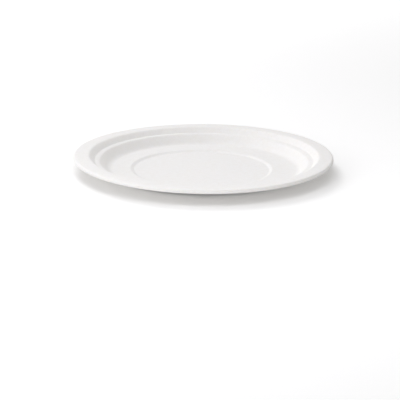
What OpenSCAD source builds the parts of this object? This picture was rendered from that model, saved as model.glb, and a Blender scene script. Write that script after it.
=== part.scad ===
// A round disposable plate pressed from one sheet of moulded plant fibre.
// All sizes are in millimetres. The plate lies level with its base on Z = 0
// and its middle on the Z axis.

/* [Plate] */
// Outer diameter of the plate, over the turned-down lip
plate_d = 230; // [180:1:320]
// Overall height, from the base to the top of the rim
plate_h = 14.4; // [11:0.1:24]
// Thickness of the pressed sheet
sheet_t = 0.8; // [0.5:0.05:1.2]

/* [Rim] */
// Width of the flat rim, from the lip's outer face to the first bend
rim_w = 13.4; // [9:0.1:18]
// Height of the lip, from the top of the rim to its trimmed lower edge
lip_h = 2.8; // [2.6:0.1:5]
// Radius of the rounded shoulder where the rim turns down into the lip
lip_bend_r = 2; // [1:0.1:2]
// Radius of the soft bend where the rim turns down into the wall
rim_bend_r = 3.3; // [2:0.1:5]

/* [Wall] */
// Width that the upper wall takes, seen from above
upper_wall_w = 4.9; // [4.5:0.1:9]
// Fall of the upper wall, from the rim to the ledge
upper_wall_fall = 4.6; // [3:0.1:5]
// Width of the narrow ledge that stiffens the wall
ledge_w = 4.3; // [2.8:0.1:6]
// Fall of the ledge from its outer to its inner edge
ledge_fall = 0.3; // [0:0.1:1]
// Width that the lower wall takes, seen from above
lower_wall_w = 8.3; // [8:0.1:18]
// Radius of the tight bend at the ledge's outer edge
ledge_out_bend_r = 1.4; // [0.8:0.1:1.6]
// Radius of the softer bend at the ledge's inner edge
ledge_in_bend_r = 3.3; // [1:0.1:5]
// Radius of the wide bend at the foot of the wall
foot_bend_r = 8.5; // [5:0.5:11]

/* [Floor] */
// Width of the level floor ring round the sunk middle
floor_ring_w = 21.5; // [14:0.5:24]
// Depth by which the middle of the floor is sunk
sunk_depth = 1.2; // [0.6:0.1:2]
// Width of the sloping step round the sunk middle
step_w = 2.8; // [2.4:0.1:6]
// Radius of the soft bends at the step
step_bend_r = 1.6; // [1:0.1:3]

/* [Hidden] */

fibre_white = [0.92, 0.905, 0.885];
// Longest stretch of arc, in degrees, that one straight piece stands for
arc_step = 24;
round_steps = 180;

// Heights of the middle of the sheet
half_t = sheet_t / 2;
rim_z = plate_h - half_t;
ledge_out_z = rim_z - upper_wall_fall;
ledge_in_z = ledge_out_z - ledge_fall;
middle_z = half_t;
floor_z = middle_z + sunk_depth;
lip_z = plate_h - lip_h;

// Distances from the axis, from the lip inwards, along the middle of the sheet
lip_x = plate_d / 2 - half_t;
rim_in_x = plate_d / 2 - rim_w;
ledge_out_x = rim_in_x - upper_wall_w;
ledge_in_x = ledge_out_x - ledge_w;
wall_foot_x = ledge_in_x - lower_wall_w;
step_out_x = wall_foot_x - floor_ring_w;
step_in_x = step_out_x - step_w;

// The sheet's middle line, from the trimmed lip to the axis: each corner is
// its distance from the axis, its height and the radius of its bend
corners = [
    [lip_x, lip_z, 0],
    [lip_x, rim_z, lip_bend_r],
    [rim_in_x, rim_z, rim_bend_r],
    [ledge_out_x, ledge_out_z, ledge_out_bend_r],
    [ledge_in_x, ledge_in_z, ledge_in_bend_r],
    [wall_foot_x, floor_z, foot_bend_r],
    [step_out_x, floor_z, step_bend_r],
    [step_in_x, middle_z, step_bend_r],
    [0, middle_z, 0]
];
last = len(corners) - 1;

function place(i) = [corners[i][0], corners[i][1]];
function heading(i) = (place(i + 1) - place(i)) / norm(place(i + 1) - place(i));
// A quarter turn clockwise: from the line towards the plate's outer, upper face
function right_of(way) = [way[1], -way[0]];
function turn_side(i) = sign(cross(heading(i - 1), heading(i)));
function turn_angle(i) = acos(heading(i - 1) * heading(i));

// The bend at corner i, moved sideways by shift to the right of the line. The
// arc touches both straight stretches, and its middle stays where it is.
function bend(i, shift) =
    let (
        angle = turn_angle(i),
        side = turn_side(i),
        r = corners[i][2],
        start = place(i) - heading(i - 1) * r * tan(angle / 2),
        middle = start - right_of(heading(i - 1)) * side * r,
        steps = max(2, ceil(angle / arc_step)),
        arm = right_of(heading(i - 1)) * (side * r + shift)
    )
    [
        for (k = [0:steps])
            let (a = side * angle * k / steps)
            middle + [
                arm[0] * cos(a) - arm[1] * sin(a),
                arm[0] * sin(a) + arm[1] * cos(a)
            ]
    ];

// One face of the sheet: the middle line moved sideways by shift
function face(shift) = concat(
    [place(0) + right_of(heading(0)) * shift],
    [for (i = [1:last - 1]) each bend(i, shift)],
    [place(last) + right_of(heading(last - 1)) * shift]
);

function reversed(points) = [for (i = [len(points) - 1:-1:0]) points[i]];

// The whole plate: the section of the sheet turned once round the axis
module plate() {
    color(fibre_white)
        rotate_extrude($fn = round_steps)
            polygon(concat(face(half_t), reversed(face(-half_t))));
}

plate();
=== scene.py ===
import bpy
import numpy as np
from mathutils import Matrix, Vector


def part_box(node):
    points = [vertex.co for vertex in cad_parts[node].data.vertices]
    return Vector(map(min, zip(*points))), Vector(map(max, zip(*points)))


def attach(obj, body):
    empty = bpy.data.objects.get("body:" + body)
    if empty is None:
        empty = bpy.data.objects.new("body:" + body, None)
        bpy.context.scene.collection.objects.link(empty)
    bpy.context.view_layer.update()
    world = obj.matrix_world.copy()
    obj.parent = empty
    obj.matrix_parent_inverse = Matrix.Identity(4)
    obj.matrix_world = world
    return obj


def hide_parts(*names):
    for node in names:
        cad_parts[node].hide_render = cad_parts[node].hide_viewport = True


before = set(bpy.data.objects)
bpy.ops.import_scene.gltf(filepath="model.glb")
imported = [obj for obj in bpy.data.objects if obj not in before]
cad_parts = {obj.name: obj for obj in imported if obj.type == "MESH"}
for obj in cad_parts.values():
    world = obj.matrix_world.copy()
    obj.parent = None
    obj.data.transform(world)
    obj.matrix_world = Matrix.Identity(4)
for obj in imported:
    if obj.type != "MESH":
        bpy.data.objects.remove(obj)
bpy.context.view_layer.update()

# The plate: one sheet of sugar-cane fibre, pressed wet between heated moulds
# and trimmed round its lip. Its face is smooth, its back shows the mould's
# fine screen, and drying leaves it a little out of true.
plate_low, plate_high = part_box("plate")
plate_radius = (plate_high[0] - plate_low[0]) / 2
plate_height = plate_high[2] - plate_low[2]
sheet = 0.0008
rim_width = 0.0134
lip_height = 0.0028
lip_bend = 0.0020
rim_bend = 0.0033
upper_wall_width = 0.0049
upper_wall_fall = 0.0046
ledge_width = 0.0043
ledge_fall = 0.0003
lower_wall_width = 0.0083
ledge_out_bend = 0.0014
ledge_in_bend = 0.0033
foot_bend = 0.0085
floor_ring_width = 0.0215
sunk_depth = 0.0012
step_width = 0.0028
step_bend = 0.0016
cut_round = 0.00025


def sheet_corners():
    """Corners of the sheet's middle line, from the trimmed lip to the axis.

    Each row is a distance from the axis, a height and the radius of the bend.
    """
    middle_z = sheet / 2
    rim_z = plate_height - sheet / 2
    ledge_z = rim_z - upper_wall_fall
    floor_z = middle_z + sunk_depth
    lip_x = plate_radius - sheet / 2
    rim_x = plate_radius - rim_width
    ledge_out_x = rim_x - upper_wall_width
    ledge_in_x = ledge_out_x - ledge_width
    foot_x = ledge_in_x - lower_wall_width
    step_out_x = foot_x - floor_ring_width
    return np.array([
        [lip_x, plate_height - lip_height + cut_round, 0],
        [lip_x, rim_z, lip_bend],
        [rim_x, rim_z, rim_bend],
        [ledge_out_x, ledge_z, ledge_out_bend],
        [ledge_in_x, ledge_z - ledge_fall, ledge_in_bend],
        [foot_x, floor_z, foot_bend],
        [step_out_x, floor_z, step_bend],
        [step_out_x - step_width, middle_z, step_bend],
        [0, middle_z, 0],
    ])


def rounded_line(corners, arc_points, straight_points):
    """Points and outward normals along a line of straights and round bends.

    A bend of radius r and angle a starts r*tan(a/2) before its corner, and
    its points are its centre plus its arm turned by equal parts of a.
    """
    places, bends = corners[:, :2], corners[:, 2]
    way = np.diff(places, axis=0)
    way /= np.linalg.norm(way, axis=1)[:, None]
    side = np.stack([way[:, 1], -way[:, 0]], axis=1)
    across = way[:-1, 0] * way[1:, 1] - way[:-1, 1] * way[1:, 0]
    along = (way[:-1] * way[1:]).sum(axis=1)
    angle = np.arctan2(across, along)
    reach = np.concatenate([[0], bends[1:-1] * np.tan(np.abs(angle) / 2), [0]])
    points, normals = [], []
    for i in range(len(way)):
        start = places[i] + way[i] * reach[i]
        end = places[i + 1] - way[i] * reach[i + 1]
        t = np.linspace(0, 1, straight_points[i], endpoint=False)[:, None]
        points.append(start + (end - start) * t)
        normals.append(np.repeat(side[i][None], len(t), axis=0))
        if i == len(way) - 1:
            break
        t = np.linspace(0, angle[i], arc_points[i], endpoint=False)
        arm = side[i] * np.sign(angle[i])
        arm_x = arm[0] * np.cos(t) - arm[1] * np.sin(t)
        arm_z = arm[0] * np.sin(t) + arm[1] * np.cos(t)
        turned = np.stack([arm_x, arm_z], axis=1)
        middle = end - arm * bends[i + 1]
        points.append(middle + turned * bends[i + 1])
        normals.append(turned * np.sign(angle[i]))
    points.append(places[-1][None])
    normals.append(side[-1][None])
    return np.concatenate(points), np.concatenate(normals)


corners = sheet_corners()
line, line_normal = rounded_line(
    corners,
    arc_points=[9, 6, 4, 6, 9, 4, 4],
    straight_points=[1, 8, 4, 3, 5, 10, 3, 16],
)
around = 512
turn = np.linspace(0, 2 * np.pi, around, endpoint=False)
rim_radius = corners[2, 0]
ledge_radius = corners[4, 0]
foot_radius = corners[5, 0]
step_radius = corners[6, 0]
# Waves round the rim: how many, how high and where they start
rim_waves = ((1, 0.00010, -0.06), (2, 0.00041, -0.71), (3, 0.00009, 1.98))
bead_height = 0.00012
bead_reach = 0.0011
bead_outside = 0.0015
ring_shift = -0.0014
wall_shift = 0.0006


def out_of_true(radius, height):
    """Turns a section round the axis, as points (section, turn, 3).

    The rim rises and falls in slow waves, the sum of swing*cos(count*turn +
    start), which fade smoothly over the wall, to nothing at the ledge. A faint
    bead, bead_height*exp(-(d/bead_reach)^2) at a distance d from its crest,
    runs round the outside of the step. The middle lies ring_shift off centre
    and the wall wall_shift, the other way, and the sheet between them gives.
    """
    lift = np.clip((radius - ledge_radius) / (rim_radius - ledge_radius), 0, 1)
    lift = lift ** 2 * (3 - 2 * lift)
    wave = sum(swing * np.cos(count * turn + start) for count, swing, start in rim_waves)
    crest_radius = step_radius + bead_outside
    bead = bead_height * np.exp(-(((radius - crest_radius) / bead_reach) ** 2))
    rows = [crest_radius, foot_radius, rim_radius, plate_radius - lip_bend]
    shift = np.interp(radius, rows, [ring_shift, wall_shift, wall_shift, 0])
    across = radius * np.cos(turn) + shift
    return np.stack([across, radius * np.sin(turn), height + bead + lift * wave], axis=2)


def sheet_face(shift):
    """One face of the sheet: the middle line moved by shift along its normal."""
    moved = line[:-1] + line_normal[:-1] * shift
    return out_of_true(moved[:, :1], moved[:, 1:])


edge_rows = 5
trim_unevenness = 0.00006
# Ripples that the trimming leaves round the cut: how many and where they start
trim_ripples = ((9, 0.0), (23, 1.1), (57, 2.3))


def trimmed_edge():
    """The cut edge of the lip, a half round of the sheet's thickness.

    At an angle u it lies sheet/2*cos(u) out from the middle line and
    cut_round*sin(u) below its end, with a slight unevenness round the turn.
    """
    u = np.linspace(0, np.pi, edge_rows + 2)[1:-1, None]
    uneven = sum(np.sin(count * turn + start) for count, start in trim_ripples) / len(trim_ripples)
    radius = line[0, 0] + sheet / 2 * np.cos(u)
    height = line[0, 1] - (cut_round + trim_unevenness * uneven) * np.sin(u)
    return out_of_true(np.broadcast_to(radius, height.shape), height)


def closed_sheet():
    """The plate's mesh: upper face, cut edge and lower face, from pole to pole."""
    rings = np.concatenate([sheet_face(sheet / 2)[::-1], trimmed_edge(), sheet_face(-sheet / 2)])
    number = np.arange(len(rings) * around).reshape(len(rings), around)
    beside = np.roll(number, -1, axis=1)
    quads = np.stack([number[1:], beside[1:], beside[:-1], number[:-1]], axis=2).reshape(-1, 4)
    poles = [[ring_shift, 0, sheet], [ring_shift, 0, 0]]
    top, bottom = number.size, number.size + 1
    fans = np.concatenate([
        np.stack([number[0], beside[0], np.full(around, top)], axis=1),
        np.stack([beside[-1], number[-1], np.full(around, bottom)], axis=1),
    ])
    return np.concatenate([rings.reshape(-1, 3), poles]), quads.tolist() + fans.tolist()


points, faces = closed_sheet()
plate_mesh = bpy.data.meshes.new("pressed_plate")
plate_mesh.from_pydata(points.tolist(), [], faces)
plate_mesh.shade_smooth()
plate = bpy.data.objects.new("pressed_plate", plate_mesh)
bpy.context.scene.collection.objects.link(plate)

# Marks on the mesh that the finish follows: how much of the mould's screen
# shows, which is all of it on the level parts of the back and none on steep
# ones or on the face, how near the trimmed edge is, and the place on the sheet.
levelness = np.abs(line_normal[:-1, 1])
screen = np.concatenate([np.zeros(len(levelness) + edge_rows), levelness ** 2])
fray_rows = 2
fading = np.exp(-np.arange(len(levelness)) / fray_rows)
frayed = np.concatenate([fading[::-1], np.ones(edge_rows), fading])
for name, rows, at_poles in (("screen_side", screen, [0, 1]), ("cut_edge", frayed, [0, 0])):
    mark = plate_mesh.attributes.new(name, "FLOAT", "POINT")
    mark.data.foreach_set("value", np.concatenate([np.repeat(rows, around), at_poles]))


def place_on_sheet():
    """Where each point lies on the sheet when its walls are laid flat.

    The distance from the axis is the length of the section up to the point,
    measured along its middle line, and the turn is the point's own. The cut
    edge and the back lie further down, so that their pulp is other pulp.
    """
    lengths = np.linalg.norm(np.diff(line, axis=0), axis=1)[::-1].cumsum()
    cut = lengths[-1] + sheet * np.linspace(0, 1, edge_rows + 2)[1:-1]
    flat = np.concatenate([lengths, cut, lengths[::-1]])[:, None]
    face, back = np.zeros(len(lengths)), np.ones(len(lengths))
    depth = sheet * np.concatenate([face, np.linspace(0, 1, edge_rows), back])
    down = -np.repeat(depth[:, None], around, axis=1)
    spread = np.stack([flat * np.cos(turn), flat * np.sin(turn), down], axis=2)
    return np.concatenate([spread.reshape(-1, 3), [[0, 0, 0], [0, 0, -sheet]]])


sheet_mark = plate_mesh.attributes.new("place_on_sheet", "FLOAT_VECTOR", "POINT")
sheet_mark.data.foreach_set("vector", place_on_sheet().ravel())

fibre = bpy.data.materials.new("moulded_fibre")
fibre.use_nodes = True
nodes, links = fibre.node_tree.nodes, fibre.node_tree.links
shader = nodes["Principled BSDF"]
sheet_node = nodes.new("ShaderNodeAttribute")
sheet_node.attribute_name = "place_on_sheet"
place = sheet_node.outputs["Vector"]


def lumps(size, detail, where=place):
    """Soft random lumps of the given size in metres, as a value from 0 to 1."""
    noise = nodes.new("ShaderNodeTexNoise")
    noise.inputs["Scale"].default_value = 1 / size
    noise.inputs["Detail"].default_value = detail
    links.new(where, noise.inputs["Vector"])
    return noise.outputs["Fac"]


def between(value, low, high, to_low=0.0, to_high=1.0):
    """A smooth ramp from to_low, where the value is low, to to_high, where it is high."""
    ramp = nodes.new("ShaderNodeMapRange")
    ramp.interpolation_type = "SMOOTHSTEP"
    for socket, number in (("From Min", low), ("From Max", high), ("To Min", to_low), ("To Max", to_high)):
        ramp.inputs[socket].default_value = number
    links.new(value, ramp.inputs["Value"])
    return ramp.outputs["Result"]


def reckon(operation, first, second):
    """One sum on two values, each a socket or a plain number."""
    sum_node = nodes.new("ShaderNodeMath")
    sum_node.operation = operation
    for socket, value in zip(sum_node.inputs, (first, second)):
        if isinstance(value, (int, float)):
            socket.default_value = value
        else:
            links.new(value, socket)
    return sum_node.outputs[0]


def strands(lie, length, width, low, high):
    """Fibres that lie one way: lumps drawn out to the given length and width.

    The place is first bent by slow noise, so that the fibres curl.
    """
    slow = nodes.new("ShaderNodeTexNoise")
    slow.inputs["Scale"].default_value = 1 / (2 * length)
    links.new(place, slow.inputs["Vector"])
    curl = nodes.new("ShaderNodeVectorMath")
    curl.operation = "MULTIPLY_ADD"
    curl.inputs[1].default_value = (length, length, length)
    links.new(slow.outputs["Color"], curl.inputs[0])
    links.new(place, curl.inputs[2])
    drawn = nodes.new("ShaderNodeMapping")
    drawn.vector_type = "TEXTURE"
    drawn.inputs["Rotation"].default_value = (0, 0, np.radians(lie))
    drawn.inputs["Scale"].default_value = (length, width, width)
    links.new(curl.outputs[0], drawn.inputs["Vector"])
    return between(lumps(size=1, detail=1, where=drawn.outputs["Vector"]), low, high)


def fibres(lies, length, width, softness):
    """Fibres in several lies, at each point the clearest of them.

    A lie is its direction in degrees and the level of noise at which it shows,
    and it is in full view where the noise is higher by softness.
    """
    found = [strands(lie, length, width, level, level + softness) for lie, level in lies]
    clearest = found[0]
    for other in found[1:]:
        clearest = reckon("MAXIMUM", clearest, other)
    return clearest


def blend_colours(amount, first, second):
    """A colour that goes from first to second by amount, each a socket or a colour."""
    mix = nodes.new("ShaderNodeMix")
    mix.data_type = "RGBA"
    links.new(amount, mix.inputs["Factor"])
    for socket, colour in ((mix.inputs[6], first), (mix.inputs[7], second)):
        if isinstance(colour, tuple):
            socket.default_value = colour
        else:
            links.new(colour, socket)
    return mix.outputs[2]


# Colour: bleached pulp, thicker in some flocks than in others, with a felt of
# fine fibres, a few tan shives of cane and fewer specks of brown pith.
flock_size = 0.0045
grain_size = 0.0007
speck_spacing = 0.004
flocks = lumps(flock_size, detail=3)
thickness = between(flocks, 0.3, 0.7)
grain = lumps(grain_size, detail=3)
felt_lies = ((20, 0.52), (75, 0.52), (130, 0.53), (165, 0.54))
felt = fibres(felt_lies, length=0.0028, width=0.00016, softness=0.14)
shive_lies = ((50, 0.665), (110, 0.665))
shives = fibres(shive_lies, length=0.0032, width=0.00028, softness=0.035)
# A speck is a spot in the middle of a cell, 0.03 to 0.05 of the spacing in
# radius. Each cell draws a lot, and only those with a high one hold a speck.
cells = nodes.new("ShaderNodeTexVoronoi")
cells.inputs["Scale"].default_value = 1 / speck_spacing
links.new(place, cells.inputs["Vector"])
lot = reckon("ADD", cells.outputs["Color"], 0)
spot = between(cells.outputs["Distance"], 0.05, 0.03)
specks = reckon("MULTIPLY", spot, between(lot, 0.88, 0.9))

pulp_white = (0.918, 0.901, 0.877, 1)
pulp_thin = (0.897, 0.877, 0.848, 1)
felt_white = (0.96, 0.95, 0.935, 1)
cane_tan = (0.78, 0.70, 0.57, 1)
pith_brown = (0.60, 0.48, 0.33, 1)
pulp = blend_colours(thickness, pulp_thin, pulp_white)
for shows, strength, colour in (
    (between(felt, 0, 1), 0.22, felt_white),
    (between(grain, 0.6, 0.35), 0.25, pulp_thin),
    (shives, 0.3, cane_tan),
    (specks, 0.5, pith_brown),
):
    pulp = blend_colours(reckon("MULTIPLY", shows, strength), pulp, colour)
links.new(pulp, shader.inputs["Base Color"])

# Finish: a soft satin where the hot mould has ironed the felt, duller on the
# back and on the trimmed edge.
bare_roughness = 0.64
felt_roughness = 0.54
flock_dulling = 0.05
back_dulling = 0.25
back = nodes.new("ShaderNodeAttribute")
back.attribute_name = "screen_side"
cut = nodes.new("ShaderNodeAttribute")
cut.attribute_name = "cut_edge"
dullness = between(felt, 0, 1, bare_roughness, felt_roughness)
dullness = reckon("ADD", dullness, between(flocks, 0.3, 0.7, flock_dulling, -flock_dulling))
unironed = reckon("MAXIMUM", back.outputs["Fac"], cut.outputs["Fac"])
dullness = reckon("ADD", dullness, reckon("MULTIPLY", unironed, back_dulling))
links.new(dullness, shader.inputs["Roughness"])
shader.inputs["Specular IOR Level"].default_value = 0.2
shader.inputs["Subsurface Weight"].default_value = 0.12
shader.inputs["Subsurface Radius"].default_value = (1.0, 0.82, 0.6)
shader.inputs["Subsurface Scale"].default_value = 0.0012

# Relief: flocks and felt stand up a few hundredths of a millimetre, the back
# bears the weave of the screen and the trimmed edge is frayed.
screen_pitch = 0.0008
fray_size = 0.00035
wires = []
for direction in ("X", "Y"):
    wire = nodes.new("ShaderNodeTexWave")
    wire.bands_direction = direction
    # At a scale of 1 the bands repeat every pi/10
    wire.inputs["Scale"].default_value = np.pi / 10 / screen_pitch
    wire.inputs["Distortion"].default_value = 0.8
    wire.inputs["Detail Scale"].default_value = 0.4
    links.new(place, wire.inputs["Vector"])
    wires.append(wire.outputs["Fac"])
weave = reckon("MULTIPLY", reckon("MULTIPLY", wires[0], wires[1]), back.outputs["Fac"])
fray = reckon("MULTIPLY", lumps(fray_size, detail=2), cut.outputs["Fac"])


def raised(height, relief, below=None):
    """Relief in metres for a height from 0 to 1, over the relief below it."""
    bump = nodes.new("ShaderNodeBump")
    bump.inputs["Strength"].default_value = 1
    bump.inputs["Distance"].default_value = relief
    links.new(height, bump.inputs["Height"])
    if below is not None:
        links.new(below, bump.inputs["Normal"])
    return bump.outputs["Normal"]


# Each relief is in metres, and lies over the one before it
surface = None
for height, relief in (
    (flocks, 0.00004),
    (grain, 0.00003),
    (felt, 0.000014),
    (weave, 0.00006),
    (fray, 0.00010),
):
    surface = raised(height, relief, surface)
links.new(surface, shader.inputs["Normal"])
plate_mesh.materials.append(fibre)
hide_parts("plate")
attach(plate, "root")

# The floor: a wide pale sweep that the plate stands on. What the eye sees of
# it glows up to white away from the plate, and gives the plate no light.
floor_mesh = bpy.data.meshes.new("floor")
reach = 6.0
floor_corners = [(-reach, -reach, 0), (reach, -reach, 0), (reach, reach, 0), (-reach, reach, 0)]
floor_mesh.from_pydata(floor_corners, [], [(0, 1, 2, 3)])
floor = bpy.data.objects.new("floor", floor_mesh)
bpy.context.scene.collection.objects.link(floor)
paper = bpy.data.materials.new("pale_floor")
paper.use_nodes = True
nodes, links = paper.node_tree.nodes, paper.node_tree.links
matt = nodes["Principled BSDF"]
matt.inputs["Base Color"].default_value = (0.93, 0.925, 0.91, 1)
matt.inputs["Roughness"].default_value = 0.9


def seen_rays():
    """1 for a ray from the eye, mirrored or straight through, and 0 for light."""
    path = nodes.new("ShaderNodeLightPath")
    seen = path.outputs["Is Camera Ray"]
    for kind in ("Is Glossy Ray", "Is Transmission Ray"):
        seen = reckon("MAXIMUM", seen, path.outputs[kind])
    return seen


near_radius, far_radius = 0.35, 2.4
near_glow, far_glow = 0.19, 0.85
from_plate = nodes.new("ShaderNodeVectorMath")
from_plate.operation = "LENGTH"
links.new(nodes.new("ShaderNodeTexCoord").outputs["Object"], from_plate.inputs[0])
glow_level = between(from_plate.outputs["Value"], near_radius, far_radius, near_glow, far_glow)
glow = nodes.new("ShaderNodeEmission")
links.new(reckon("MULTIPLY", seen_rays(), glow_level), glow.inputs["Strength"])
lit_and_glowing = nodes.new("ShaderNodeAddShader")
links.new(matt.outputs[0], lit_and_glowing.inputs[0])
links.new(glow.outputs[0], lit_and_glowing.inputs[1])
links.new(lit_and_glowing.outputs[0], nodes["Material Output"].inputs["Surface"])
floor_mesh.materials.append(paper)

# The light: a white room and four plain softboxes, one high behind, one on
# the left, one low at the front left and a small panel above the front.
world = bpy.data.worlds.new("studio")
bpy.context.scene.world = world
world.use_nodes = True
nodes, links = world.node_tree.nodes, world.node_tree.links
room = nodes["Background"]
room.inputs["Color"].default_value = (1, 1, 1, 1)
room_light = 0.398
links.new(reckon("MAXIMUM", seen_rays(), room_light), room.inputs["Strength"])
daylight = (0.955, 0.958, 1.0)


def softbox(name, stand, size, watts):
    """A square lamp at stand that faces the plate, out of the camera's sight."""
    lamp_data = bpy.data.lights.new(name, "AREA")
    lamp_data.size = size
    lamp_data.energy = watts
    lamp_data.color = daylight
    lamp = bpy.data.objects.new(name, lamp_data)
    bpy.context.scene.collection.objects.link(lamp)
    lamp.location = stand
    lamp.rotation_euler = (-Vector(stand)).to_track_quat("-Z", "Y").to_euler()
    lamp.visible_camera = False


softbox("back_softbox", stand=(-0.57, 0.98, 1.13), size=0.8, watts=9.45)
softbox("left_softbox", stand=(-1.26, -0.11, 0.59), size=0.8, watts=2.86)
softbox("low_softbox", stand=(-0.56, -0.81, 0.17), size=0.5, watts=2.0)
softbox("front_panel", stand=(0, -0.3, 0.52), size=0.4, watts=1.02)

# The camera: a long lens that looks down a little. The plate stands in the
# frame as in the photograph. The eye is set out in plate radii, from a point
# on the axis that lies lip_line_drop under the top of the plate.
focal_pixels = 1688.15
frame_pixels = 400
sensor_width = 36
view_pitch = np.radians(16.453)
view_roll = np.radians(-0.62)
view_distance = 13.0
view_across = 0.0216
view_up = 0.3052
lip_line_drop = 0.0485
camera_data = bpy.data.cameras.new("camera")
camera = bpy.data.objects.new("camera", camera_data)
bpy.context.scene.collection.objects.link(camera)
bpy.context.scene.camera = camera
camera_data.sensor_width = sensor_width
camera_data.lens = sensor_width * focal_pixels / frame_pixels
right = np.array([1.0, 0, 0])
ahead = np.array([0, np.cos(view_pitch), -np.sin(view_pitch)])
up = np.array([0, np.sin(view_pitch), np.cos(view_pitch)])
eye = plate_radius * (-view_across * right - view_up * up - view_distance * ahead)
eye[2] += plate_height - lip_line_drop * plate_radius
turned_right = right * np.cos(view_roll) - up * np.sin(view_roll)
turned_up = right * np.sin(view_roll) + up * np.cos(view_roll)
camera.matrix_world = Matrix.Translation(Vector(eye)) @ Matrix(
    np.stack([turned_right, turned_up, -ahead], axis=1).tolist()
).to_4x4()

bpy.context.scene.view_settings.view_transform = "Standard"
